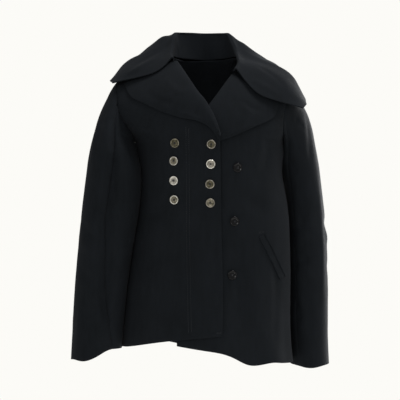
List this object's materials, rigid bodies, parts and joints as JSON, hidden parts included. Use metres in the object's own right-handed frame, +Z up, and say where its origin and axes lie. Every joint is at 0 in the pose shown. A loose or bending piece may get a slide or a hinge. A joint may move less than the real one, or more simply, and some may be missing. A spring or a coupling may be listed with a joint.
{
  "type": "blazer",
  "caption": "Short double-breasted wool jacket with a wide fall collar, broad lapels and set-in sleeves, hollow as when worn.",
  "frame": {"origin": "between the neck ends of the two shoulder seams, where the wearer's neck and shoulders carry the jacket", "axes": "+X to the wearer's left, -Y to the front, +Z up"},
  "size_m": [0.5289, 0.2642, 0.6881],
  "materials": {
    "wool": "black wool melton with a short raised nap",
    "collar_wool": "black wool melton, two layers pressed together",
    "pale_metal": "pale cast metal, satin",
    "black_resin": "polished black resin"
  },
  "bodies": {
    "root": {"front_left": "wool", "front_right": "wool", "back": "wool", "sleeve_upper_right": "wool", "sleeve_under_right": "wool", "sleeve_upper_left": "wool", "sleeve_under_left": "wool", "lapel_left": "wool", "lapel_right": "wool", "collar": "collar_wool", "pocket_welt_left": "wool", "metal_button_1": "pale_metal", "metal_button_2": "pale_metal", "metal_button_3": "pale_metal", "metal_button_4": "pale_metal", "metal_button_5": "pale_metal", "metal_button_6": "pale_metal", "metal_button_7": "pale_metal", "metal_button_8": "pale_metal", "black_button_1": "black_resin", "black_button_2": "black_resin", "black_button_3": "black_resin"}
  },
  "joints": []
}
